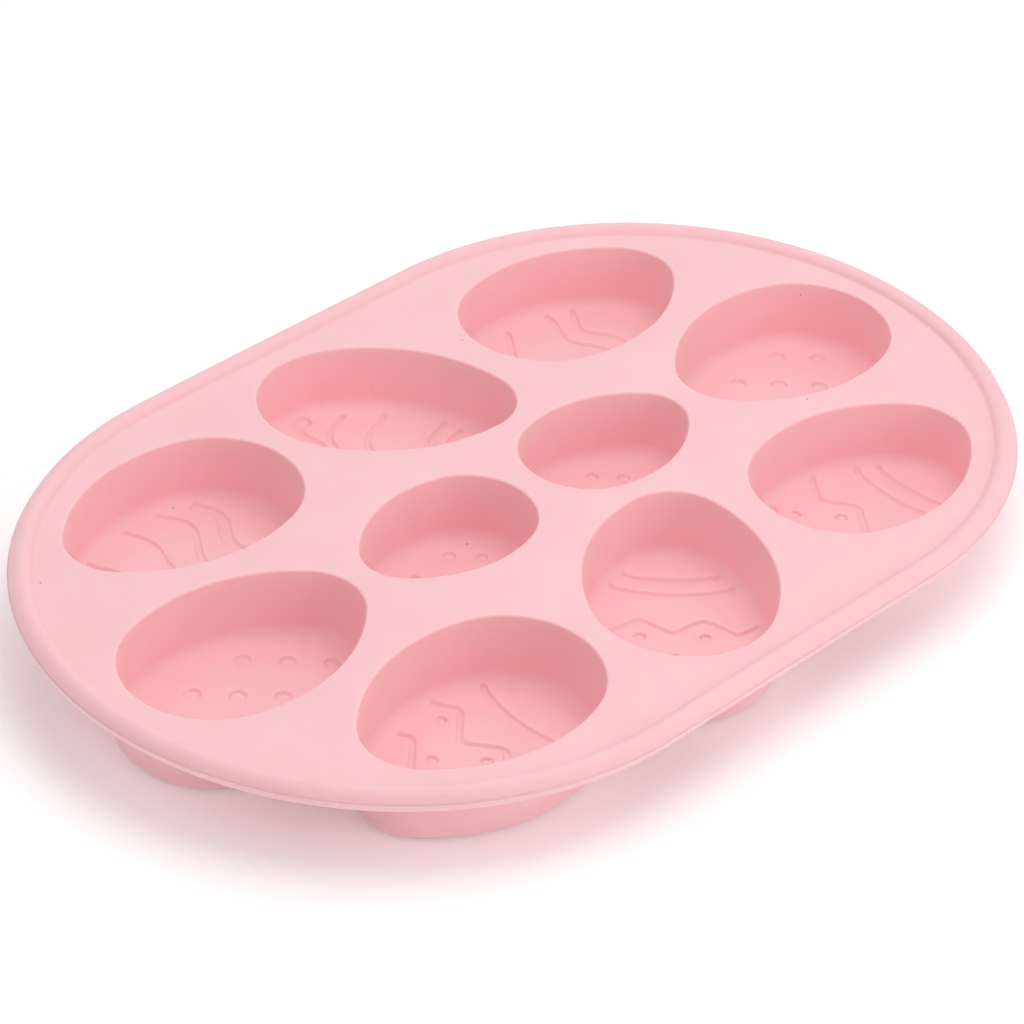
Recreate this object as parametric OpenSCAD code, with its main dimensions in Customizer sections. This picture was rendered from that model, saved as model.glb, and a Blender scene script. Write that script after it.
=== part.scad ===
// Silicone soap mould with ten egg cavities.
//
// A flat deck with a beaded rim carries ten flat-bottomed cups: eight large eggs and two small ones.
// Each egg is an oval of four tangent arcs, and one section is swept round it for the cup's wall.
// The pattern sunk in each cavity floor stands out below it as ribs, so the silicone keeps an even
// thickness there, and the mould stands on those ribs.
//
// X runs along the tray and Z up. The origin is on the surface that the mould stands on, below the
// middle of the tray. Inside a cup, x runs across the egg and y towards its narrow end.

/* [Egg cavities] */
// Length of a large egg at the mouth of its cavity
egg_length = 62; // [56:0.5:68]
// Width of a large egg at the mouth of its cavity
egg_width = 44.5; // [41:0.5:47]
// How much the broad end's radius falls short of half the width
broad_ease = 1.05; // [0.6:0.05:2]
// How much the narrow end's radius falls short of half the width
narrow_taper = 8.75; // [6:0.25:9.5]
// Size of the two small eggs against the large ones
small_scale = 0.753; // [0.66:0.001:0.84]
// Depth of the cavities below the deck's top
cavity_depth = 18; // [13:0.5:26]
// Lean of the cavity walls, in degrees
wall_draft = 2; // [0.5:0.25:4]
// Radius of the rounded mouth edge
mouth_round = 0.9; // [0.4:0.1:1.4]
// Radius between wall and floor inside a cavity
floor_fillet = 2; // [1:0.25:4]

/* [Silicone thickness] */
// Thickness of the deck
deck_t = 2; // [1.5:0.1:3]
// Thickness of the cup walls
wall_t = 1.6; // [1.5:0.1:2.4]
// Thickness of the cup floors, without the ribs
floor_t = 2.2; // [1.8:0.1:3]
// Radius of the rounded foot outside a cup
foot_round = 3.5; // [2.5:0.25:4.5]

/* [Layout] */
// Land between the two small eggs
small_gap = 7.7; // [5:0.1:12]
// Land between a small egg's tip and the end egg's tip
tip_gap = 7.7; // [5:0.1:12]
// Land between the middle row and the front and back rows
row_gap = 9.1; // [5.5:0.1:14]
// Land between the broad ends of neighbouring eggs in the front and back rows
side_gap = 6.4; // [5:0.1:12]
// Land between the end eggs and the outer edge of the rim
end_border = 10.8; // [10:0.1:20]
// Land between the front and back rows and the outer edge of the rim
side_border = 16.2; // [12:0.1:26]
// Turn of the middle eggs of the front and back rows, in degrees
middle_turn = 45; // [40:1:50]
// How far the middle eggs stand out of line, towards their narrow ends
middle_shift = 0.7; // [-1:0.1:2]

/* [Rim] */
// Radius of the rim's bead above its parting line
bead_r = 2.75; // [2.6:0.05:4]
// Radius of the bead below its parting line, where the tool halves don't quite meet
lower_bead_r = 2.45; // [2.4:0.05:3.8]
// Depth of the parting line below the deck's top
parting_drop = 0.95; // [0.7:0.05:1.2]
// How far the flash stands out from the parting line
flash_out = 0.3; // [0.1:0.05:0.6]
// Thickness of the flash
flash_t = 0.25; // [0.15:0.05:0.5]

/* [Relief] */
// Depth of the pattern in the cavity floors, and height of the ribs below them
relief_depth = 0.8; // [0.4:0.1:1.2]
// Width of a pattern line
line_w = 1.4; // [1:0.1:1.8]
// Diameter of a polka dot in a large egg
polka_d = 3.7; // [3:0.1:5]
// Diameter of the dots between the zigzags
bead_dot_d = 2.8; // [2.2:0.1:4]
// Width of the broad band in the wave pattern
band_w = 3.2; // [2.4:0.1:5]
// How much further each side of a rib reaches than its line in the floor above
rib_grow = 0.2; // [0:0.05:0.4]
// Land between a pattern and the wall's fillet
relief_margin = 0.4; // [0.3:0.1:1.5]

/* [Hidden] */
$fn = 96;
skin_pink = "#f6bcc4";
floor_pink = "#f0aab4";
far = 500;     // further than any part of the mould reaches
embed = 0.3;   // how far a rib is sunk into its floor
arc_trim = 0.01; // how far each of an egg's arcs stops short of its tangent points
half_w = egg_width / 2;
half_l = egg_length / 2;

// Heights
floor_bottom_z = relief_depth;
floor_z = floor_bottom_z + floor_t;
deck_z = floor_z + cavity_depth;
deck_under_z = deck_z - deck_t;
parting_z = deck_z - parting_drop;

// The four arcs of a large egg, with its long axis on X, the narrow end at +X and the origin
// half way along. The side arcs' centres lie across the axis from the sides they draw.
broad_r = half_w - broad_ease;
narrow_r = half_w - narrow_taper;
centre_gap = egg_length - broad_r - narrow_r;
ease_ratio = narrow_taper / broad_ease;
quad_a = 1 - ease_ratio;
quad_c = centre_gap ^ 2 - narrow_taper ^ 2 + ease_ratio * broad_ease ^ 2;
side_from_broad = (centre_gap - sqrt(centre_gap ^ 2 - quad_a * quad_c)) / quad_a;
side_y = (side_from_broad ^ 2 - broad_ease ^ 2) / (2 * broad_ease);
side_r = side_y + half_w;
broad_x = broad_r - half_l;
narrow_x = broad_x + centre_gap;
side_x = broad_x + side_from_broad;
broad_angle = atan2(side_y, -side_from_broad);
narrow_angle = atan2(side_y, centre_gap - side_from_broad);

// Section of a cup. Its x is the distance outside the mouth's outline.
wall_inset = cavity_depth * tan(wall_draft);
fillet_x = -(cavity_depth - floor_fillet) * tan(wall_draft) - floor_fillet / cos(wall_draft);
foot_x = wall_t - (cavity_depth + floor_t - foot_round) * tan(wall_draft)
    - foot_round / cos(wall_draft);

// From the rim's outer edge to the flat deck
deck_edge = 2 * bead_r + 0.1;

// Layout, to a hundredth of a millimetre
function hundredths(v) = round(v * 100) / 100;
small_x = hundredths((small_gap + egg_length * small_scale) / 2);
end_x = hundredths(small_x + egg_length * small_scale / 2 + tip_gap + half_l);
row_y = hundredths(half_w * (1 + small_scale) + row_gap);
row_x = hundredths(-broad_x + 2 * broad_r + side_gap - broad_x * cos(middle_turn));
middle_x = hundredths(middle_shift * cos(middle_turn));
middle_y = hundredths(row_y - middle_shift * sin(middle_turn));
tray_half_l = hundredths(end_x + half_l + end_border);
tray_half_w = hundredths(row_y + half_w + side_border);
corner_x = tray_half_l - tray_half_w;

// Patterns. Drops and gaps are shares of an egg's half length, the pitch of its half width.
wave_steps = 24;
polka_pitch = 0.36;
corner_back = 0.7;          // how far a zigzag's corners are cut back, in millimetres
zigzag_gap = 0.48;          // from the upper zigzag down to the lower one
peak_dot_drop = 0.21;       // from the upper zigzag down to a dot below its peak
valley_dot_drop = 0.28;     // and to a dot below its valley
broad_stripe_bow = -0.11;   // of the stripe near the broad end

// Each cup: name, place, direction of its narrow end, size and pattern.
CUPS = [
    ["back_left", [-row_x, row_y], 180, 1, "waves_left"],
    ["back_middle", [middle_x, middle_y], -middle_turn, 1, "waves_middle"],
    ["back_right", [row_x, row_y], 0, 1, "waves_right"],
    ["end_left", [-end_x, 0], 0, 1, "polka_left"],
    ["small_left", [-small_x, 0], 180, small_scale, "polka_small_left"],
    ["small_right", [small_x, 0], 0, small_scale, "polka_small_right"],
    ["end_right", [end_x, 0], 180, 1, "polka_right"],
    ["front_left", [-row_x, -row_y], 180, 1, "zigzags_left"],
    ["front_middle", [middle_x, -middle_y], middle_turn, 1, "zigzags_middle"],
    ["front_right", [row_x, -row_y], 0, 1, "zigzags_right"],
];
function cup_place(cup) = cup[1];
function cup_angle(cup) = cup[2];
function cup_size(cup) = cup[3];
function cup_pattern(cup) = cup[4];

// ---- Egg outlines ----

// A large egg scaled by size and grown by out, with its narrow end at +X.
module egg_outline(size, out) {
    broad_side_x = size * broad_x + (size * broad_r + out) * cos(broad_angle);
    narrow_side_x = size * narrow_x + (size * narrow_r + out) * cos(narrow_angle);
    translate([size * broad_x, 0]) circle(r = size * broad_r + out);
    translate([size * narrow_x, 0]) circle(r = size * narrow_r + out);
    intersection() {
        translate([size * side_x, size * side_y]) circle(r = size * side_r + out);
        translate([size * side_x, -size * side_y]) circle(r = size * side_r + out);
        translate([broad_side_x, -egg_width]) square([narrow_side_x - broad_side_x, 2 * egg_width]);
    }
}

// Sweeps a section round the four arcs of an egg. The section's x is the distance outside it.
// Each arc stops a hair short of the tangent points, so that the arcs stay four clean solids.
module arc_sweep(at, r, from, to) {
    trim = arc_trim / r * 180 / PI;
    translate(at) rotate_extrude(angle = to - from - 2 * trim, start = from + trim)
        translate([r, 0]) children();
}
module sweep_egg(size) {
    arc_sweep([size * broad_x, 0], size * broad_r, broad_angle, 360 - broad_angle) children();
    arc_sweep([size * narrow_x, 0], size * narrow_r, -narrow_angle, narrow_angle) children();
    for (side = [0, 1]) mirror([0, side, 0])
        arc_sweep([size * side_x, -size * side_y], size * side_r, narrow_angle, broad_angle)
            children();
}

// Half the width of an egg, grown by out, at a place y along it.
function egg_half_width(size, out, y) = let (
    broad = size * broad_r + out,
    narrow = size * narrow_r + out,
    side = size * side_r + out,
    from_broad = y - size * broad_x,
    from_narrow = y - size * narrow_x
) from_broad < broad * cos(broad_angle) ? sqrt(max(0, broad ^ 2 - from_broad ^ 2))
    : from_narrow > narrow * cos(narrow_angle) ? sqrt(max(0, narrow ^ 2 - from_narrow ^ 2))
    : sqrt(side ^ 2 - (y - size * side_x) ^ 2) - size * side_y;

// Stands its children in a cup's place, with y towards the cup's narrow end.
module in_cup(cup) {
    translate(cup_place(cup)) rotate(cup_angle(cup) - 90) children();
}

// ---- Deck and rim ----

module stadium(inset) {
    for (side = [-1, 1]) translate([side * corner_x, 0]) circle(r = tray_half_w - inset);
    square([2 * corner_x, 2 * (tray_half_w - inset)], center = true);
}

module deck_sheet() {
    color(skin_pink) translate([0, 0, deck_under_z]) linear_extrude(deck_t) difference() {
        stadium(deck_edge);
        for (cup = CUPS) translate(cup_place(cup)) rotate(cup_angle(cup))
            egg_outline(cup_size(cup), wall_t);
    }
}

// Section of the rim, with x from the centre of its bead outwards. The lower half is smaller,
// and the flash stands out between the halves.
module rim_section() {
    intersection() {
        circle(r = bead_r);
        translate([-far, 0]) square([2 * far, far]);
    }
    intersection() {
        circle(r = lower_bead_r);
        translate([-far, -far]) square([2 * far, far + flash_t]);
    }
    translate([bead_r - deck_edge, parting_drop - deck_t]) square([deck_edge - bead_r, deck_t]);
    translate([0, -flash_t / 2]) square([bead_r + flash_out, flash_t]);
}

module rim_bead() {
    centre_r = tray_half_w - bead_r;
    color(skin_pink) translate([0, 0, parting_z]) for (side = [0, 1]) rotate([0, 0, 180 * side]) {
        translate([corner_x, 0, 0])
            rotate_extrude(angle = 180, start = -90) translate([centre_r, 0]) rim_section();
        translate([corner_x, centre_r, 0])
            rotate([90, 0, -90]) linear_extrude(2 * corner_x) mirror([1, 0]) rim_section();
    }
}

// ---- Cups ----

// Section of a cup's wall, from its rounded mouth in the deck down to the toe that holds the floor.
module wall_section() {
    difference() {
        union() {
            polygon([
                [fillet_x, floor_bottom_z], [foot_x, floor_bottom_z],
                [foot_x + foot_round * cos(wall_draft), floor_bottom_z + foot_round],
                [wall_t, deck_under_z], [wall_t, deck_z], [mouth_round, deck_z],
                [-mouth_round * tan(wall_draft), deck_z - mouth_round],
                [-wall_inset + floor_fillet * tan(wall_draft), floor_z + floor_fillet],
                [fillet_x, floor_z],
            ]);
            translate([foot_x, floor_bottom_z + foot_round]) circle(r = foot_round);
            translate([mouth_round, deck_z - mouth_round]) circle(r = mouth_round);
        }
        translate([fillet_x, floor_z + floor_fillet]) circle(r = floor_fillet);
        translate([fillet_x - far, floor_bottom_z]) square([far, far]);
    }
}

module cup_wall(cup) {
    color(skin_pink) translate(cup_place(cup)) rotate(cup_angle(cup))
        sweep_egg(cup_size(cup)) wall_section();
}

// A flat floor with its pattern sunk in from above and standing out as ribs below.
module cup_floor(cup) {
    color(floor_pink) in_cup(cup) {
        difference() {
            translate([0, 0, floor_bottom_z]) linear_extrude(floor_t)
                rotate(90) egg_outline(cup_size(cup), fillet_x);
            translate([0, 0, floor_z - relief_depth]) linear_extrude(relief_depth + embed)
                pattern(cup_pattern(cup), cup_size(cup), 0);
        }
        linear_extrude(relief_depth + embed) pattern(cup_pattern(cup), cup_size(cup), rib_grow);
    }
}

// ---- Patterns ----

// An outline round a path, half a line's width out on each side, with round ends.
function unit(v) = v / norm(v);
function left_of(v) = [-v.y, v.x];
function one_side(path, out) = let (last = len(path) - 1) [for (i = [0:last]) let (
    before = unit(path[max(i, 1)] - path[max(i, 1) - 1]),
    after = unit(path[min(i + 1, last)] - path[min(i + 1, last) - 1]),
    along = unit(before + after)
) path[i] + left_of(along) * out / (along * after)];
function round_end(at, along, r) =
    [for (a = [60:-30:-60]) at + r * (cos(a) * along + sin(a) * left_of(along))];
function reversed(list) = [for (i = [len(list) - 1:-1:0]) list[i]];

module stroke(path, width) {
    last = len(path) - 1;
    polygon(concat(
        one_side(path, width / 2),
        round_end(path[last], unit(path[last] - path[last - 1]), width / 2),
        reversed(one_side(path, -width / 2)),
        round_end(path[0], unit(path[0] - path[1]), width / 2)
    ));
}

// How far a line at height y may reach to each side, so that it stays on the flat floor.
function reach(size, y, width) =
    egg_half_width(size, fillet_x, y) - relief_margin - rib_grow - width / 2;

// A wave line: its valley and rise are shares of the egg's half length, its half period and the
// place of its crest are shares of the half width.
function wave_path(wave, half_reach) = [for (i = [-wave_steps / 2:wave_steps / 2]) let (
    x = 2 * i / wave_steps * half_reach,
    phase = 180 * (x / half_w - wave[3]) / wave[1]
) [x, half_l * (wave[0] + wave[2] / 2 * (1 + cos(phase)))]];

module wave_line(wave, width) {
    stroke(wave_path(wave, reach(1, half_l * (wave[0] + wave[2] / 2), line_w)), width);
}

// Wave lines, and one broader band.
module waves(lines, band, grow) {
    for (wave = lines) wave_line(wave, line_w + 2 * grow);
    stroke(wave_path(band, reach(1, half_l * band[0], band_w)), band_w + 2 * grow);
}

// A staggered field of dots through one dot at start, as far as the floor reaches.
module polka(size, start, grow) {
    d = polka_d * size;
    pitch = polka_pitch * half_w * size;
    for (i = [-8:8], j = [-8:8]) {
        at = [start.x * half_w + i * pitch, start.y * half_l + j * pitch];
        fits = abs(at.x) < egg_half_width(size, fillet_x - relief_margin - rib_grow - d / 2, at.y);
        if ((i + j) % 2 == 0 && fits) translate(at) circle(d = d + 2 * grow);
    }
}

// A bowed stripe, with its middle at a share y of the half length and its ends bow further up.
module stripe(y, bow, width) {
    half_reach = reach(1, half_l * (y + bow), line_w);
    stroke([for (i = [-6:6]) [i / 6 * half_reach, half_l * (y + bow * (i / 6) ^ 2)]], width);
}

// Height of a zigzag at x, and its path with the corners cut back.
function zigzag_y(zigzag, x) = let (
    turns = (x / half_w - zigzag[1]) / zigzag[2],
    within = turns - 2 * floor(turns / 2)
) half_l * (zigzag[0] + zigzag[3] * (0.5 - min(within, 2 - within))
    + zigzag[4] * x / half_w);
function cut_corners(path, back) = let (last = len(path) - 1) concat(
    [path[0]],
    [for (i = [1:last - 1], d = [path[i - 1] - path[i], path[i + 1] - path[i]])
        path[i] + unit(d) * back],
    [path[last]]
);
module zigzag_line(zigzag, width) {
    half_reach = reach(1, half_l * zigzag[0], line_w);
    inner = half_reach - 1.5 * line_w;
    xs = [for (i = [-8:8]) let (x = half_w * (zigzag[1] + i * zigzag[2]))
        if (abs(x) < inner) x];
    path = [for (x = concat([-half_reach], xs, [half_reach])) [x, zigzag_y(zigzag, x)]];
    stroke(cut_corners(path, corner_back), width);
}

// Stripes near the narrow end, two zigzags with dots between them, and a stripe near the broad end.
// The zigzags are given by the upper one's middle height, the place of a peak, the half period,
// the rise and the slope.
module zigzags(stripes, zigzag, broad_stripe, grow) {
    width = line_w + 2 * grow;
    for (s = stripes) stripe(s[0], s[1], width);
    lower = [for (i = [0:4]) i == 0 ? zigzag[0] - zigzag_gap : zigzag[i]];
    zigzag_line(zigzag, width);
    zigzag_line(lower, width);
    for (i = [-8:8]) {
        x = half_w * (zigzag[1] + i * zigzag[2]);
        drop = i % 2 == 0 ? peak_dot_drop : valley_dot_drop;
        at = [x, zigzag_y(zigzag, x) - half_l * drop];
        if (abs(x) < reach(1, at.y, bead_dot_d)) translate(at) circle(d = bead_dot_d + 2 * grow);
    }
    stripe(broad_stripe, broad_stripe_bow, width);
}

module pattern(name, size, grow) {
    if (name == "waves_left")
        waves([[0.57, 0.3, 0.11, 0], [0.4, 0.35, 0.09, -0.02], [-0.04, 0.52, 0.1, 0],
            [-0.41, 0.67, 0.24, -0.16]], [-0.66, 0.55, 0.19, -0.1], grow);
    if (name == "waves_middle")
        waves([[0.51, 0.33, 0.13, -0.03], [0.36, 0.37, 0.1, 0.01], [-0.14, 0.57, 0.13, 0.24],
            [-0.44, 0.53, 0.13, 0.11]], [-0.69, 0.42, 0.22, -0.09], grow);
    if (name == "waves_right")
        waves([[0.4, 0.39, 0.14, 0.09], [0.2, 0.43, 0.13, 0.15], [-0.27, 0.49, 0.21, 0.03],
            [-0.5, 0.46, 0.14, 0]], [-0.74, 0.4, 0.1, 0], grow);
    if (name == "polka_left") polka(size, [-0.18, 0.03], grow);
    if (name == "polka_right") polka(size, [0.21, -0.24], grow);
    if (name == "polka_small_left") polka(size, [0.41, -0.37], grow);
    if (name == "polka_small_right") polka(size, [-0.14, 0.35], grow);
    if (name == "zigzags_left")
        zigzags([[0.8, 0.03], [0.62, 0.05]], [0.38, 0.2, 0.42, 0.23, -0.12], -0.49, grow);
    if (name == "zigzags_middle")
        zigzags([[0.65, 0.04], [0.46, 0.08]], [0.07, 0.35, 0.35, 0.2, 0], -0.7, grow);
    if (name == "zigzags_right")
        zigzags([[0.63, 0.04], [0.44, 0.08]], [0.05, -0.19, 0.36, 0.2, -0.1], -0.7, grow);
}

deck_sheet();
rim_bead();
for (cup = CUPS) cup_wall(cup);
for (cup = CUPS) cup_floor(cup);
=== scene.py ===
"""Silicone soap mould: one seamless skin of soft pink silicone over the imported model."""

import math

import bpy
import numpy as np
from mathutils import Matrix, Vector
from mathutils.geometry import delaunay_2d_cdt


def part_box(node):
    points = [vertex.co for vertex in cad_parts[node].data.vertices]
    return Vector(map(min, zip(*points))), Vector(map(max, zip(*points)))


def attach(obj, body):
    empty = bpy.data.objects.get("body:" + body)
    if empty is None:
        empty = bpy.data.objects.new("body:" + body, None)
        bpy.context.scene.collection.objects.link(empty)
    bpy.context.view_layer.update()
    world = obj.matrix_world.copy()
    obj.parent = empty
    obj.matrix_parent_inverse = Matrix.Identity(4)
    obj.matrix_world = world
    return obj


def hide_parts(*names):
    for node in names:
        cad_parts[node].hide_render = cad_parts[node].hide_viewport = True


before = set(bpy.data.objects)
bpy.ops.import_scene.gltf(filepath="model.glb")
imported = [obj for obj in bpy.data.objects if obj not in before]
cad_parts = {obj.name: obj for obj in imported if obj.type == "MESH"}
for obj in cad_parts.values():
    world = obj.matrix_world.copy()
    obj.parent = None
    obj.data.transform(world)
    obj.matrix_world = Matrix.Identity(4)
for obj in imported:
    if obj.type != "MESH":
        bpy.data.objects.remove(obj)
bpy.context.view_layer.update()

MM = 0.001

# ---- Sizes, in millimetres. The mesh code works in millimetres and scales at the end. ----

# Sizes that the solids share
PARTING_DROP = 0.95      # from the deck's top down to the rim's parting line
FLASH_OUT = 0.3
FLASH_T = 0.25
WALL_T = 1.6
WALL_DRAFT = math.radians(2)
RIB_H = 0.8              # how far the pattern stands out below a cup
BROAD_EASE = 1.05        # how much the egg's end radii fall short of half its width
NARROW_TAPER = 8.75

# Finer forms
MOUTH_ROUND = 0.6
FOOT_ROUND = 2.3
LOWER_BEAD_R = 2.95
FLOOR_FILLET = 3.8
UNDER_FILLET = 1.2       # between a cup and the deck's underside
CREASE_FILLET = 0.7      # between the deck and its bead
LINE_END = -2.3          # the pattern's lines end this far inside the mouth's outline
WAVE_END = -3.1          # and the waves this far
LINE_W = 1.6
BAND_W = 3.2
POLKA_D = 4.0
BEAD_DOT_D = 2.8
GROOVE_DEPTH = 0.8
GROOVE_EDGE = 0.38       # width of a groove's soft edge
DOT_EASE = 0.55          # how much shallower a dot is in its middle, as a share
RIB_GROW = 0.2           # how much wider the pattern is below, on each side
RIB_DOT_EASE = 0.25
DROOP_X = 0.8            # how far the rim hangs down at the tray's ends
DROOP_Y = 1.15           # and at its sides
DROOP_TWIST = -0.55      # turns that towards two opposite corners
FLASH_TIP = 0.3          # half the flash's thickness at its tip, as a share of FLASH_T
TO_FLASH = 0.06          # angle at which the bead's upper half stops short of the flash
FROM_FLASH = 0.07        # and its lower half

# How finely the skin is meshed
RING_POINTS = 240                # round an egg
RIM_ROUND_POINTS = 150           # round one end of the tray
RIM_SIDE_POINTS = 36             # along one side of it
FLOOR_TURN = math.radians(50)    # how much of a floor's round belongs to its height field
PATTERN_STEP = 0.45              # along a pattern's line
PATTERN_GAP = 0.17               # least distance between the pattern's points
ROUND_GAP = 0.3                  # between the points of a floor's round and the pattern's
DOT_POINTS = 28                  # round a dot
EDGE_GAP = 0.2                   # between the pattern's points and the height field's edge
EDGE_SLACK = 0.01                # for triangles that end in that edge
FLOOR_PITCH = 1.8                # between the points of a floor's plain part
FLOOR_GAP = 0.8                  # between those and any other
DECK_PITCH = 4
DECK_GAP = 1.6


def millimetres(node):
    """The low and the high corner of a node's box."""
    low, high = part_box(node)
    return np.array(low) / MM, np.array(high) / MM


deck_low, deck_high = millimetres("deck_sheet")
floor_low, floor_high = millimetres("cup_floor_end_left")
rim_high = millimetres("rim_bead")[1]
DECK_Z = deck_high[2]
DECK_UNDER_Z = deck_low[2]
PARTING_Z = DECK_Z - PARTING_DROP
BEAD_R = rim_high[2] - PARTING_Z
TRAY_HALF_L = rim_high[0] - FLASH_OUT
TRAY_HALF_W = rim_high[1] - FLASH_OUT
END_CENTRE_X = TRAY_HALF_L - TRAY_HALF_W    # of the half circle at the tray's end
FLOOR_Z = floor_high[2]
FLOOR_BOTTOM_Z = floor_low[2] + RIB_H


# ---- The egg: four tangent arcs, long axis on X, narrow end at +X ----

class Egg:
    """An egg outline at a size, which is 1 for a large egg. half_w and half_l are a large egg's."""

    def __init__(self, length, width, size):
        half_w = width / 2
        broad_r = half_w - BROAD_EASE
        narrow_r = half_w - NARROW_TAPER
        gap = length - broad_r - narrow_r
        ratio = NARROW_TAPER / BROAD_EASE
        a = 1 - ratio
        c = gap ** 2 - NARROW_TAPER ** 2 + ratio * BROAD_EASE ** 2
        from_broad = (gap - math.sqrt(gap ** 2 - a * c)) / a
        side_y = (from_broad ** 2 - BROAD_EASE ** 2) / (2 * BROAD_EASE)
        self.half_w, self.half_l, self.size = half_w, length / 2, size
        self.broad_x = size * (broad_r - length / 2)
        self.narrow_x = self.broad_x + size * gap
        self.side_x = self.broad_x + size * from_broad
        self.side_y = size * side_y
        self.broad_r, self.narrow_r = size * broad_r, size * narrow_r
        self.side_r = size * (side_y + half_w)
        self.broad_angle = math.atan2(side_y, -from_broad)
        self.narrow_angle = math.atan2(side_y, gap - from_broad)

    def ring(self, count):
        """Points on the outline and the normals there, about evenly spaced."""
        b, n = self.broad_angle, self.narrow_angle
        arcs = [
            ((self.narrow_x, 0), self.narrow_r, -n, n),
            ((self.side_x, -self.side_y), self.side_r, n, b),
            ((self.broad_x, 0), self.broad_r, b, 2 * math.pi - b),
            ((self.side_x, self.side_y), self.side_r, 2 * math.pi - b, 2 * math.pi - n),
        ]
        total = sum(r * (to - start) for _, r, start, to in arcs)
        points, normals = [], []
        for centre, r, start, to in arcs:
            steps = round(count * r * (to - start) / total)
            angle = start + (to - start) * np.arange(steps) / steps
            normal = np.stack([np.cos(angle), np.sin(angle)], 1)
            points.append(np.array(centre) + r * normal)
            normals.append(normal)
        return np.concatenate(points), np.concatenate(normals)

    def outside(self, points):
        """How far each point lies outside the outline, negative inside it."""
        x, y = points[:, 0], np.abs(points[:, 1])
        side_angle = np.arctan2(y + self.side_y, x - self.side_x)
        broad = np.hypot(x - self.broad_x, y) - self.broad_r
        narrow = np.hypot(x - self.narrow_x, y) - self.narrow_r
        side = np.hypot(x - self.side_x, y + self.side_y) - self.side_r
        out = np.where(side_angle > self.broad_angle, broad, side)
        return np.where(side_angle < self.narrow_angle, narrow, out)

    def half_width(self, out, along):
        """Half the width of the outline, grown by out, at a place along its long axis."""
        from_broad = along - self.broad_x
        from_narrow = along - self.narrow_x
        broad, narrow = self.broad_r + out, self.narrow_r + out
        if from_broad < broad * math.cos(self.broad_angle):
            return math.sqrt(max(0, broad ** 2 - from_broad ** 2))
        if from_narrow > narrow * math.cos(self.narrow_angle):
            return math.sqrt(max(0, narrow ** 2 - from_narrow ** 2))
        return math.sqrt((self.side_r + out) ** 2 - (along - self.side_x) ** 2) - self.side_y


def mouth_size(node):
    low, high = millimetres(node)
    return (high - low)[:2] - 2 * WALL_T


EGG_LENGTH, EGG_WIDTH = mouth_size("cup_wall_end_left")
SMALL = mouth_size("cup_wall_small_left")[0] / EGG_LENGTH


# ---- Patterns, in a cup's own x (across) and y (towards the narrow end) ----
# Each gives lines (a path and a width) and dots (a place and a diameter).

STEPS = range(-8, 9)     # enough steps either way to cross a cup


def reach(egg, along, width, end=LINE_END):
    """Half the length that a line of this width can have at a place along the egg."""
    return egg.half_width(end, along) - width / 2


def wave_path(egg, wave, width):
    valley, half_period, rise, crest = wave
    half = reach(egg, egg.half_l * (valley + rise / 2), width, WAVE_END)
    x = np.linspace(-half, half, 61)
    phase = math.pi * (x / egg.half_w - crest) / half_period
    return np.stack([x, egg.half_l * (valley + rise / 2 * (1 + np.cos(phase)))], 1)


def waves(egg, lines, band):
    paths = [(wave_path(egg, wave, LINE_W), LINE_W) for wave in lines]
    return paths + [(wave_path(egg, band, BAND_W), BAND_W)], []


# From one polka dot to the next, two ways, as shares of half the egg's width
POLKA_STEPS = np.array([(0.327, 0.316), (-0.392, 0.423)])
POLKA_TO_EDGE = 3.2      # from a dot's edge to the egg's outline, at least


def polka(egg, start):
    d, steps = POLKA_D * egg.size, POLKA_STEPS * egg.half_w * egg.size
    first = np.array(start) * (egg.half_w, egg.half_l) * egg.size
    dots = []
    for i in STEPS:
        for j in STEPS:
            at = first + i * steps[0] + j * steps[1]
            if egg.outside(at[None, ::-1])[0] < -POLKA_TO_EDGE - d / 2:
                dots.append((at, d))
    return [], dots


def stripe(egg, y, bow):
    half = reach(egg, egg.half_l * (y + bow), LINE_W)
    t = np.linspace(-1, 1, 25)
    return np.stack([t * half, egg.half_l * (y + bow * t ** 2)], 1), LINE_W


# As shares of half the egg's length
ZIGZAG_GAP = 0.48        # from the upper zigzag down to the lower one
BROAD_STRIPE_BOW = -0.11
PEAK_DOT_DROP = 0.21     # from the upper zigzag down to a dot below its peak
VALLEY_DOT_DROP = 0.28   # and to a dot below its valley
# In millimetres
CORNER_BACK = 1.9        # how far from its corner a zigzag starts to turn
CORNER_TO_END = 1.5      # from a zigzag's last corner to its end, at least
DOT_TO_END = 1           # from a bead dot to where a line would end there, at least


def zigzag_y(egg, zigzag, x):
    mid, peak, half_period, rise, slope = zigzag
    turns = (x / egg.half_w - peak) / half_period
    within = turns - 2 * math.floor(turns / 2)
    return egg.half_l * (mid + rise * (0.5 - min(within, 2 - within)) + slope * x / egg.half_w)


def zigzag_line(egg, zigzag):
    half = reach(egg, egg.half_l * zigzag[0], LINE_W)
    corners = [egg.half_w * (zigzag[1] + i * zigzag[2]) for i in STEPS]
    xs = [-half] + [x for x in corners if abs(x) < half - CORNER_TO_END] + [half]
    path = [np.array([x, zigzag_y(egg, zigzag, x)]) for x in xs]
    return round_corners(path, CORNER_BACK), LINE_W


def round_corners(path, back):
    """The path with each corner replaced by a short curve that starts and ends back from it."""
    out = [path[0]]
    for before, corner, after in zip(path, path[1:], path[2:]):
        start = corner + back * (before - corner) / np.linalg.norm(before - corner)
        end = corner + back * (after - corner) / np.linalg.norm(after - corner)
        for t in np.linspace(0, 1, 7):
            out.append((1 - t) ** 2 * start + 2 * t * (1 - t) * corner + t ** 2 * end)
    return np.array(out + [path[-1]])


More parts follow.
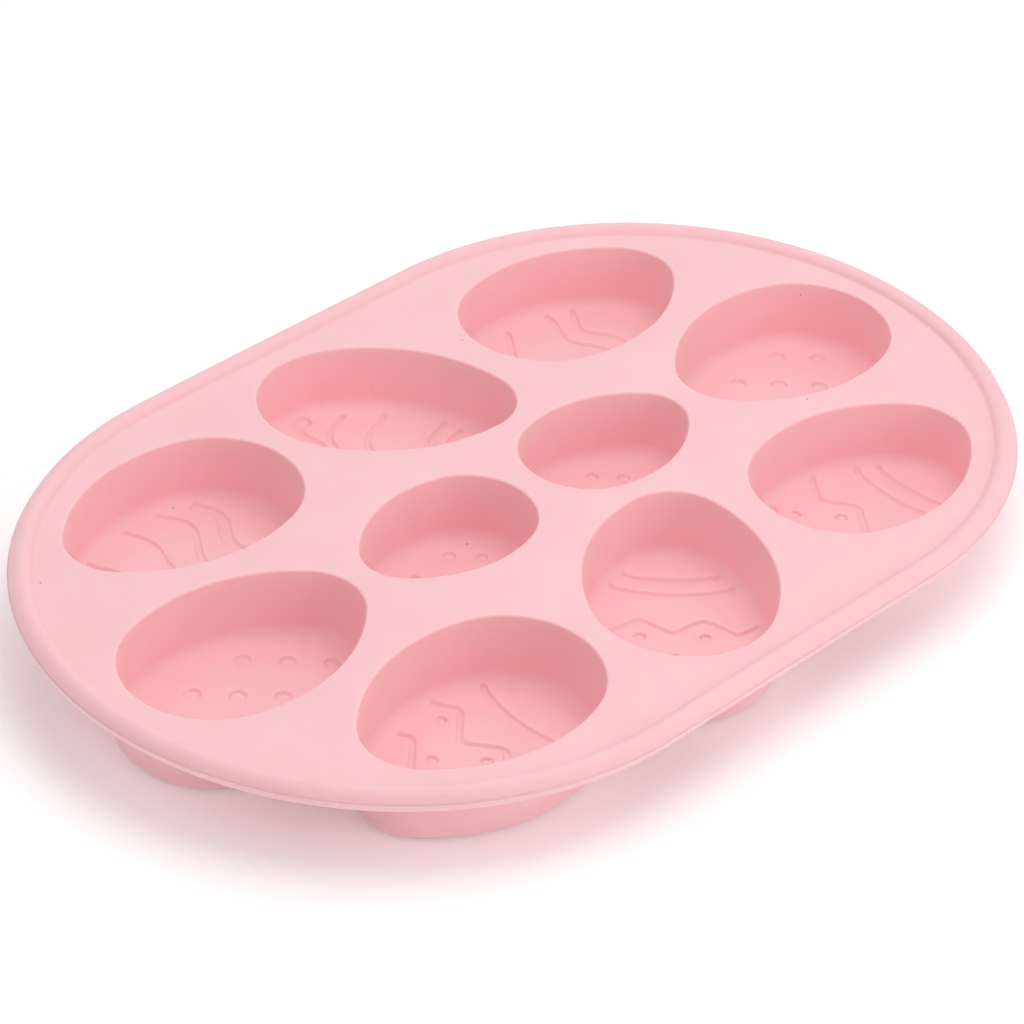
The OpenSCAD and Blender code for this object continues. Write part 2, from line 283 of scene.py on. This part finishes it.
def zigzags(egg, stripes, zigzag, broad_stripe):
    lower = (zigzag[0] - ZIGZAG_GAP,) + tuple(zigzag[1:])
    lines = [stripe(egg, *s) for s in stripes]
    lines += [zigzag_line(egg, zigzag), zigzag_line(egg, lower)]
    lines.append(stripe(egg, broad_stripe, BROAD_STRIPE_BOW))
    dots = []
    for i in STEPS:
        x = egg.half_w * (zigzag[1] + i * zigzag[2])
        drop = PEAK_DOT_DROP if i % 2 == 0 else VALLEY_DOT_DROP
        at = np.array([x, zigzag_y(egg, zigzag, x) - egg.half_l * drop])
        if abs(x) < reach(egg, at[1], BEAD_DOT_D) - DOT_TO_END:
            dots.append((at, BEAD_DOT_D))
    return lines, dots


# Cup name: direction of its narrow end in degrees, size, and its pattern.
# Sizes along the egg are shares of half its length, and those across it of half its width.
# A wave is its valley, half period, rise and crest's place, and the last one is the broad band.
# A polka pattern is the place of one of its dots.
# A stripe is its place and bow, a zigzag its middle, peak's place, half period, rise and slope,
# and the last number is the place of the stripe near the broad end.
CUPS = {
    "back_left": (180, 1, lambda egg: waves(
        egg, [(0.57, 0.3, 0.11, 0), (0.4, 0.35, 0.09, -0.02), (-0.04, 0.52, 0.1, 0),
              (-0.41, 0.67, 0.24, -0.16)], (-0.66, 0.55, 0.19, -0.1))),
    "back_middle": (-45, 1, lambda egg: waves(
        egg, [(0.51, 0.33, 0.13, -0.03), (0.36, 0.37, 0.1, 0.01), (-0.14, 0.57, 0.13, 0.24),
              (-0.44, 0.53, 0.13, 0.11)], (-0.69, 0.42, 0.22, -0.09))),
    "back_right": (0, 1, lambda egg: waves(
        egg, [(0.4, 0.39, 0.14, 0.09), (0.2, 0.43, 0.13, 0.15), (-0.335, 0.65, 0.26, 0.37),
              (-0.5, 0.46, 0.14, 0)], (-0.74, 0.4, 0.1, 0))),
    "end_left": (0, 1, lambda egg: polka(egg, (-0.147, 0.014))),
    "small_left": (180, SMALL, lambda egg: polka(egg, (0.126, -0.154))),
    "small_right": (0, SMALL, lambda egg: polka(egg, (-0.496, 0.21))),
    "end_right": (180, 1, lambda egg: polka(egg, (0.193, -0.233))),
    "front_left": (180, 1, lambda egg: zigzags(
        egg, [(0.8, 0.03), (0.62, 0.05)], (0.36, 0.255, 0.385, 0.25, -0.117), -0.5)),
    "front_middle": (45, 1, lambda egg: zigzags(
        egg, [(0.65, 0.04), (0.46, 0.08)], (0.068, 0.312, 0.34, 0.185, 0), -0.7)),
    "front_right": (0, 1, lambda egg: zigzags(
        egg, [(0.63, 0.04), (0.44, 0.08)], (0.05, -0.195, 0.375, 0.2, -0.08), -0.7)),
}


# ---- Relief ----

def to_path(points, path):
    """Distance from each point to a path."""
    best = np.full(len(points), 1e9)
    for a, b in zip(path[:-1], path[1:]):
        d = b - a
        t = np.clip(((points - a) @ d) / (d @ d), 0, 1)
        best = np.minimum(best, np.linalg.norm(points - a - t[:, None] * d, axis=1))
    return best


def smooth(t):
    t = np.clip(t, 0, 1)
    return t * t * (3 - 2 * t)


def relief(points, pattern, grow, ease):
    """How far the pattern goes into the silicone, or out of it, at each point, as a share.

    grow widens the pattern, and ease is how much shallower a dot is in its middle.
    """
    lines, dots = pattern
    depth = np.zeros(len(points))
    for path, width in lines:
        edge = width / 2 + grow + GROOVE_EDGE / 2 - to_path(points, path)
        depth = np.maximum(depth, smooth(edge / GROOVE_EDGE))
    for at, d in dots:
        away = np.linalg.norm(points - at, axis=1)
        r = d / 2 + grow
        ring = smooth((r + GROOVE_EDGE / 2 - away) / GROOVE_EDGE)
        middle = 1 - ease * smooth(1 - away / r)
        depth = np.maximum(depth, ring * middle)
    return depth


def pattern_points(pattern, grow):
    """Points that follow the pattern closely enough for its edges to look round."""
    lines, dots = pattern
    found = []
    across = np.array([-0.9, -0.6, -0.3, 0, 0.3, 0.6, 0.9]) * GROOVE_EDGE
    for path, width in lines:
        length = np.concatenate([[0], np.cumsum(np.linalg.norm(np.diff(path, axis=0), axis=1))])
        s = np.linspace(0, length[-1], max(2, round(length[-1] / PATTERN_STEP)))
        spine = np.stack([np.interp(s, length, path[:, k]) for k in (0, 1)], 1)
        along = np.gradient(spine, axis=0)
        along /= np.linalg.norm(along, axis=1)[:, None]
        left = np.stack([-along[:, 1], along[:, 0]], 1)
        half = width / 2 + grow
        found.append(spine)
        for side in (-1, 1):
            found += [spine + side * (half + a) * left for a in across]
            end = spine[0] if side < 0 else spine[-1]
            turn = np.linspace(-math.pi / 2, math.pi / 2, 9)[1:-1]
            out = side * along[0 if side < 0 else -1]
            fan = np.outer(np.cos(turn), out) + np.outer(np.sin(turn), [-out[1], out[0]])
            found += [end + (half + a) * fan for a in across]
    for at, d in dots:
        turn = np.arange(DOT_POINTS) * 2 * math.pi / DOT_POINTS
        ring = np.stack([np.cos(turn), np.sin(turn)], 1)
        r = d / 2 + grow
        found += [at[None], at + r * 0.3 * ring[::4]]
        found += [at + r * share * ring[::2] for share in (0.55, 0.7)]
        found += [at + (r + a) * ring for a in across]
    return np.concatenate(found)


# ---- Mesh of the skin ----

class Skin:
    """Collects the vertices and faces of one mesh."""

    def __init__(self):
        self.points, self.faces, self.count = [], [], 0

    def add(self, xyz):
        first = self.count
        self.points.append(xyz)
        self.count += len(xyz)
        return np.arange(first, self.count)

    def strip(self, rings):
        """Quads between rings. They face outwards where the rings run counterclockwise and up."""
        for low, high in zip(rings, rings[1:]):
            self.faces += zip(low, np.roll(low, -1), np.roll(high, -1), high)

    def fill(self, loops, loose, keep, height, up):
        """Triangles between closed loops of vertices, with loose points among them.

        loops holds (indices, xy), height gives z at xy, keep says which triangles stay, by their
        middles, and up is whether they face up.
        """
        index = np.concatenate([i for i, _ in loops])
        xy = np.concatenate([p for _, p in loops])
        edges, first = [], 0
        for i, _ in loops:
            turn = np.arange(len(i))
            edges += list(zip((first + turn).tolist(), (first + np.roll(turn, -1)).tolist()))
            first += len(i)
        every = np.concatenate([xy, loose]) if len(loose) else xy
        out, _, triangles, origin, _, _ = delaunay_2d_cdt(
            [Vector(p) for p in every.tolist()], edges, [], 0, 1e-6)
        out = np.array([tuple(p) for p in out])
        known = np.full(len(out), -1)
        for k, source in enumerate(origin):
            for s in source:
                if s < len(index):
                    known[k] = index[s]
        new = np.flatnonzero(known < 0)
        if len(new):
            known[new] = self.add(np.column_stack([out[new], height(out[new])]))
        tri = np.array(triangles)
        middle = out[tri].mean(axis=1)
        tri = tri[keep(middle)]
        a, b, c = (out[tri[:, k]] for k in range(3))
        ccw = (b - a)[:, 0] * (c - a)[:, 1] - (b - a)[:, 1] * (c - a)[:, 0] > 0
        tri = known[tri]
        flip = ccw != up
        tri[flip] = tri[flip][:, ::-1]
        self.faces += [tuple(t) for t in tri.tolist()]

    def mesh(self, name):
        mesh = bpy.data.meshes.new(name)
        points = drooped(np.concatenate(self.points)) * MM
        mesh.from_pydata(points.tolist(), [], [tuple(int(i) for i in f) for f in self.faces])
        mesh.validate()
        mesh.shade_smooth()
        return mesh


def drooped(points):
    """The points, let down a little towards the rim, as soft silicone hangs outside its cups."""
    x, y, z = points.T
    drop = (DROOP_X * (x / TRAY_HALF_L) ** 2 + DROOP_Y * (y / TRAY_HALF_W) ** 2
            + DROOP_TWIST * x * y / (TRAY_HALF_L * TRAY_HALF_W))
    return np.column_stack([x, y, z - drop * z / DECK_Z])


def spread(points, taken, gap):
    """The points that lie at least gap from every taken one."""
    keep = np.ones(len(points), bool)
    for first in range(0, len(points), 512):
        part = points[first:first + 512]
        away = np.linalg.norm(part[:, None] - taken[None], axis=2).min(axis=1)
        keep[first:first + 512] = away >= gap
    return points[keep]


def thin_out(points, gap):
    """The points, without those that lie closer than gap to an earlier one."""
    cells, kept = {}, []
    for p in points:
        key = (math.floor(p[0] / gap), math.floor(p[1] / gap))
        near = [q for i in (-1, 0, 1) for j in (-1, 0, 1)
                for q in cells.get((key[0] + i, key[1] + j), ())]
        if all((p[0] - q[0]) ** 2 + (p[1] - q[1]) ** 2 >= gap * gap for q in near):
            cells.setdefault(key, []).append(p)
            kept.append(p)
    return np.array(kept)


def hexagons(half_x, half_y, pitch):
    """A grid of points over a rectangle, each with six neighbours."""
    row = np.arange(-half_x, half_x, pitch)
    rows = np.arange(-half_y, half_y, pitch * math.sqrt(3) / 2)
    return np.concatenate([np.stack([row + (k % 2) * pitch / 2, np.full(len(row), y)], 1)
                           for k, y in enumerate(rows)])


def between(low, high, shares):
    """Points on the straight line from low to high."""
    return [tuple(np.array(low) + (np.array(high) - low) * t) for t in shares]


def upturn(x, z, r, start, end, count):
    """Points on a round that lies flat at (x, z) and turns up, between two angles."""
    return [(x + r * math.sin(a), z + r * (1 - math.cos(a)))
            for a in np.linspace(start, end, count)]


class Cup:
    """One cup's inside and outside surfaces."""

    def __init__(self, name):
        angle, size, pattern = CUPS[name]
        self.egg = Egg(EGG_LENGTH, EGG_WIDTH, size)
        self.pattern = pattern(self.egg)
        turn = math.radians(angle)
        self.turn = np.array([[math.cos(turn), math.sin(turn)], [-math.sin(turn), math.cos(turn)]])
        self.outline, self.normals = self.egg.ring(RING_POINTS)
        grown = (self.outline + WALL_T * self.normals) @ self.turn
        low, high = millimetres("cup_wall_" + name)
        self.place = ((low + high)[:2] - grown.min(axis=0) - grown.max(axis=0)) / 2

    def to_tray(self, xy):
        return xy @ self.turn + self.place

    def to_egg(self, xy):
        return (xy - self.place) @ self.turn.T

    def outside(self, xy):
        return self.egg.outside(self.to_egg(xy))

    def ring_xy(self, out):
        """The egg's outline, grown by out, in the tray."""
        return self.to_tray(self.outline + out * self.normals)

    def ring(self, skin, out, z):
        xy = self.ring_xy(out)
        return skin.add(np.column_stack([xy, np.full(len(xy), z)]))

    def floor(self, skin, edge, flat_x, flat_z, r, grow, ease, depth, up):
        """A floor and the part of its round that the pattern reaches, as one height field.

        edge is the ring of vertices round it. The floor is flat at flat_z up to flat_x outside
        the egg's outline, and r is the radius of its round there.
        """
        edge_x = flat_x + r * math.sin(FLOOR_TURN)

        def height(xy):
            egg_xy = self.to_egg(xy)
            over = np.clip(self.egg.outside(egg_xy) - flat_x, 0, None)
            plain = flat_z + r - np.sqrt(np.maximum(r ** 2 - over ** 2, 0))
            across = np.stack([-egg_xy[:, 1], egg_xy[:, 0]], 1)
            return plain - depth * relief(across, self.pattern, grow, ease)

        found = pattern_points(self.pattern, grow)
        found = np.stack([found[:, 1], -found[:, 0]], 1)
        found = found[self.egg.outside(found) < edge_x - EDGE_GAP]
        found = thin_out(found, PATTERN_GAP)
        rounds = [self.outline + (flat_x + share * (edge_x - flat_x)) * self.normals
                  for share in (-0.15, 0, 0.2, 0.4, 0.6, 0.8)]
        found = np.concatenate([found, spread(np.concatenate(rounds), found, ROUND_GAP)])
        coarse = hexagons(self.egg.half_l, self.egg.half_w, FLOOR_PITCH)
        coarse = coarse[self.egg.outside(coarse) < flat_x - FLOOR_GAP]
        found = np.concatenate([found, spread(coarse, found, FLOOR_GAP)])
        skin.fill([(edge, self.ring_xy(edge_x))], self.to_tray(found),
                  lambda middle: self.outside(middle) < edge_x + EDGE_SLACK, height, up)

    def inside(self, skin):
        """From the floor up to the mouth; returns the mouth's ring and how far out it lies."""
        flat_x = (-(DECK_Z - FLOOR_Z - FLOOR_FILLET) * math.tan(WALL_DRAFT)
                  - FLOOR_FILLET / math.cos(WALL_DRAFT))
        section = upturn(flat_x, FLOOR_Z, FLOOR_FILLET, FLOOR_TURN, math.pi / 2 - WALL_DRAFT, 7)
        mouth_x = MOUTH_ROUND * (1 - math.sin(WALL_DRAFT)) / math.cos(WALL_DRAFT)
        mouth = [(mouth_x - MOUTH_ROUND * math.cos(a), DECK_Z - MOUTH_ROUND * (1 - math.sin(a)))
                 for a in np.linspace(WALL_DRAFT, math.pi / 2, 6)]
        section += between(section[-1], mouth[0], (0.25, 0.5, 0.75)) + mouth
        rings = [self.ring(skin, *p) for p in section]
        skin.strip([r[::-1] for r in rings])
        self.floor(skin, rings[0], flat_x, FLOOR_Z, FLOOR_FILLET, 0, DOT_EASE, GROOVE_DEPTH, True)
        return rings[-1], mouth_x

    def under(self, skin):
        """From the foot up to the deck's underside; returns the ring there and how far out."""
        flat_x = (WALL_T - (DECK_Z - FLOOR_BOTTOM_Z - FOOT_ROUND) * math.tan(WALL_DRAFT)
                  - FOOT_ROUND / math.cos(WALL_DRAFT))
        section = upturn(flat_x, FLOOR_BOTTOM_Z, FOOT_ROUND, FLOOR_TURN,
                         math.pi / 2 - WALL_DRAFT, 7)
        top_z = DECK_UNDER_Z - UNDER_FILLET
        fillet = [(WALL_T + UNDER_FILLET * (1 - math.cos(a)), top_z + UNDER_FILLET * math.sin(a))
                  for a in np.linspace(0, math.pi / 2, 5)]
        section += between(section[-1], (WALL_T, top_z), (0.33, 0.67)) + fillet
        rings = [self.ring(skin, *p) for p in section]
        skin.strip(rings)
        self.floor(skin, rings[0], flat_x, FLOOR_BOTTOM_Z, FOOT_ROUND, RIB_GROW, RIB_DOT_EASE,
                   RIB_H, False)
        return rings[-1], WALL_T + UNDER_FILLET


def stadium_ring(count_round, count_straight):
    """Points on the tray's outer outline, counterclockwise, and the normals there."""
    turn = -math.pi / 2 + math.pi * np.arange(count_round) / count_round
    normal = np.stack([np.cos(turn), np.sin(turn)], 1)
    right = normal * TRAY_HALF_W + [END_CENTRE_X, 0]
    top_x = END_CENTRE_X - 2 * END_CENTRE_X * np.arange(count_straight) / count_straight
    top = np.stack([top_x, np.full(count_straight, TRAY_HALF_W)], 1)
    up = np.tile([0.0, 1.0], (count_straight, 1))
    half = np.concatenate([right, top])
    half_n = np.concatenate([normal, up])
    return np.concatenate([half, -half]), np.concatenate([half_n, -half_n])


def stadium_outside(xy):
    """How far each point lies outside the tray's outline without its flash."""
    x = np.maximum(np.abs(xy[:, 0]) - END_CENTRE_X, 0)
    return np.hypot(x, xy[:, 1]) - TRAY_HALF_W


def rim_section():
    """Section of the rim, from the deck's top over the bead to the deck's underside.

    x is the distance outside the tray's outline without its flash.
    """
    centre_x = -BEAD_R
    rise = DECK_Z - PARTING_Z + CREASE_FILLET
    fillet_x = centre_x - math.sqrt((BEAD_R + CREASE_FILLET) ** 2 - rise ** 2)
    turn = math.atan2(rise, centre_x - fillet_x)
    section = upturn(fillet_x, DECK_Z, CREASE_FILLET, 0, math.pi / 2 - turn, 4)[:-1]
    section += [(centre_x - BEAD_R * math.cos(a), PARTING_Z + BEAD_R * math.sin(a))
                for a in np.linspace(turn, math.pi - TO_FLASH, 30)]
    section += [(0.0, PARTING_Z + FLASH_T / 2),
                (FLASH_OUT, PARTING_Z + FLASH_T * FLASH_TIP),
                (FLASH_OUT, PARTING_Z - FLASH_T * FLASH_TIP),
                (LOWER_BEAD_R - BEAD_R, PARTING_Z - FLASH_T / 2)]
    drop = PARTING_Z - DECK_UNDER_Z + CREASE_FILLET
    under_x = centre_x - math.sqrt((LOWER_BEAD_R + CREASE_FILLET) ** 2 - drop ** 2)
    under_turn = math.atan2(drop, centre_x - under_x)
    section += [(centre_x + LOWER_BEAD_R * math.cos(a), PARTING_Z - LOWER_BEAD_R * math.sin(a))
                for a in np.linspace(FROM_FLASH, math.pi - under_turn, 22)]
    section += [(under_x + CREASE_FILLET * math.sin(a),
                 DECK_UNDER_Z - CREASE_FILLET * (1 - math.cos(a)))
                for a in np.linspace(math.pi / 2 - under_turn, 0, 4)[1:]]
    return section


def deck_face(skin, rim, cups, z, up):
    """The deck's top or underside, at z.

    rim holds its outer edge and how far out that lies, and cups each cup with its ring there
    and how far out that lies.
    """
    (rim_ring, rim_xy), rim_out = rim

    def keep(middle):
        kept = stadium_outside(middle) < rim_out
        for cup, _, out in cups:
            kept &= cup.outside(middle) > out
        return kept

    loops = [(rim_ring, rim_xy)] + [(ring, cup.ring_xy(out)) for cup, ring, out in cups]
    loose = hexagons(TRAY_HALF_L, TRAY_HALF_W, DECK_PITCH)
    loose = spread(loose[keep(loose)], np.concatenate([xy for _, xy in loops]), DECK_GAP)
    skin.fill(loops, loose, keep, lambda xy: np.full(len(xy), z), up)


def build_skin():
    skin = Skin()
    outline, normals = stadium_ring(RIM_ROUND_POINTS, RIM_SIDE_POINTS)
    rim = []
    for out, z in rim_section():
        xy = outline + out * normals
        rim.append(((skin.add(np.column_stack([xy, np.full(len(xy), z)])), xy), out))
    skin.strip([ring[::-1] for (ring, _), _ in rim])
    mouths, feet = [], []
    for name in CUPS:
        cup = Cup(name)
        mouths.append((cup, *cup.inside(skin)))
        feet.append((cup, *cup.under(skin)))
    deck_face(skin, rim[0], mouths, DECK_Z, True)
    deck_face(skin, rim[-1], feet, DECK_UNDER_Z, False)
    return skin.mesh("mould_skin")


# ---- Materials ----

PINK = (0.985, 0.56, 0.59, 1)
LIGHT_PINK = (0.99, 0.58, 0.61, 1)
SPECK = (0.5, 0.24, 0.27, 1)
SPECK_R = 0.018          # as a share of the specks' cell


def silicone():
    """Matt, slightly translucent pink silicone with a faint mottle, a few specks and a grain."""
    material = bpy.data.materials.new("pink_silicone")
    material.use_nodes = True
    nodes, links = material.node_tree.nodes, material.node_tree.links
    shader = nodes["Principled BSDF"]
    shader.inputs["Roughness"].default_value = 0.52
    shader.inputs["IOR"].default_value = 1.41
    shader.inputs["Subsurface Weight"].default_value = 0.8
    shader.inputs["Subsurface Radius"].default_value = (1.0, 0.7, 0.65)
    shader.inputs["Subsurface Scale"].default_value = 0.001
    place = nodes.new("ShaderNodeTexCoord")

    mottle = nodes.new("ShaderNodeTexNoise")
    mottle.inputs["Scale"].default_value = 60
    mottle.inputs["Detail"].default_value = 3
    links.new(place.outputs["Object"], mottle.inputs["Vector"])
    tint = nodes.new("ShaderNodeValToRGB")
    tint.color_ramp.elements[0].position = 0.3
    tint.color_ramp.elements[0].color = PINK
    tint.color_ramp.elements[1].position = 0.7
    tint.color_ramp.elements[1].color = LIGHT_PINK
    links.new(mottle.outputs["Fac"], tint.inputs["Fac"])

    specks = nodes.new("ShaderNodeTexVoronoi")
    specks.inputs["Scale"].default_value = 70
    links.new(place.outputs["Object"], specks.inputs["Vector"])
    dot = nodes.new("ShaderNodeMath")
    dot.operation = "LESS_THAN"
    dot.inputs[1].default_value = SPECK_R
    links.new(specks.outputs["Distance"], dot.inputs[0])
    colour = nodes.new("ShaderNodeMix")
    colour.data_type = "RGBA"
    colour.inputs["B"].default_value = SPECK
    links.new(dot.outputs["Value"], colour.inputs["Factor"])
    links.new(tint.outputs["Color"], colour.inputs["A"])
    links.new(colour.outputs["Result"], shader.inputs["Base Color"])

    fine = nodes.new("ShaderNodeTexNoise")
    fine.inputs["Scale"].default_value = 900
    fine.inputs["Detail"].default_value = 2
    links.new(place.outputs["Object"], fine.inputs["Vector"])
    bump = nodes.new("ShaderNodeBump")
    bump.inputs["Strength"].default_value = 0.06
    bump.inputs["Distance"].default_value = 0.0001
    links.new(fine.outputs["Fac"], bump.inputs["Height"])
    links.new(bump.outputs["Normal"], shader.inputs["Normal"])
    return material


def white_floor():
    material = bpy.data.materials.new("white_floor")
    material.use_nodes = True
    shader = material.node_tree.nodes["Principled BSDF"]
    shader.inputs["Base Color"].default_value = (0.96, 0.96, 0.96, 1)
    shader.inputs["Roughness"].default_value = 0.9
    shader.inputs["Emission Color"].default_value = (1, 1, 1, 1)
    shader.inputs["Emission Strength"].default_value = 0.12
    return material


# ---- Scene ----

def add_object(name, mesh, material):
    piece = bpy.data.objects.new(name, mesh)
    bpy.context.scene.collection.objects.link(piece)
    mesh.materials.append(material)
    return piece


def add_mould():
    piece = add_object("mould_skin", build_skin(), silicone())
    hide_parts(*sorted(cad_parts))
    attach(piece, "root")


def add_floor():
    half = 2.0
    mesh = bpy.data.meshes.new("floor")
    mesh.from_pydata([(-half, -half, 0), (half, -half, 0), (half, half, 0), (-half, half, 0)],
                     [], [(0, 1, 2, 3)])
    add_object("floor", mesh, white_floor())


def add_light(name, place, size, watts):
    """A square soft light that looks at the origin."""
    data = bpy.data.lights.new(name, "AREA")
    data.size = size
    data.energy = watts
    light = bpy.data.objects.new(name, data)
    light.location = place
    light.rotation_euler = (-Vector(place)).to_track_quat("-Z", "Y").to_euler()
    bpy.context.scene.collection.objects.link(light)


def add_lights():
    add_light("front", (0.2, -0.9, 0.4), 0.6, 2.0)
    add_light("over", (0.05, -0.1, 0.6), 0.4, 1.2)
    add_light("left", (-0.7, 0.1, 0.7), 0.7, 0.8)
    add_light("back", (0.5, 0.6, 0.8), 0.8, 1.8)
    world = bpy.data.worlds.new("studio")
    world.use_nodes = True
    sky = world.node_tree.nodes["Background"]
    sky.inputs["Color"].default_value = (1, 1, 1, 1)
    sky.inputs["Strength"].default_value = 0.53
    bpy.context.scene.world = world


def add_camera():
    """A long lens from the front left, looking down at the deck. Lengths are in millimetres."""
    azimuth, elevation = math.radians(-47.584), math.radians(35.309)
    roll = math.radians(2.987)
    distance = 935.82
    target = np.array([-11.65, -6.08, DECK_Z])
    back = np.array([math.sin(azimuth) * math.cos(elevation),
                     -math.cos(azimuth) * math.cos(elevation), math.sin(elevation)])
    right = np.array([math.cos(azimuth), math.sin(azimuth), 0])
    up = np.cross(back, right)
    side = math.cos(roll) * right + math.sin(roll) * up
    top = -math.sin(roll) * right + math.cos(roll) * up
    data = bpy.data.cameras.new("camera")
    data.sensor_width = 36
    data.lens = 142.53
    camera = bpy.data.objects.new("camera", data)
    axes = Matrix((side, top, back)).transposed().to_4x4()
    camera.matrix_world = Matrix.Translation(Vector((target + distance * back) * MM)) @ axes
    bpy.context.scene.collection.objects.link(camera)
    bpy.context.scene.camera = camera


add_mould()
add_floor()
add_lights()
add_camera()
bpy.context.scene.view_settings.view_transform = "Standard"
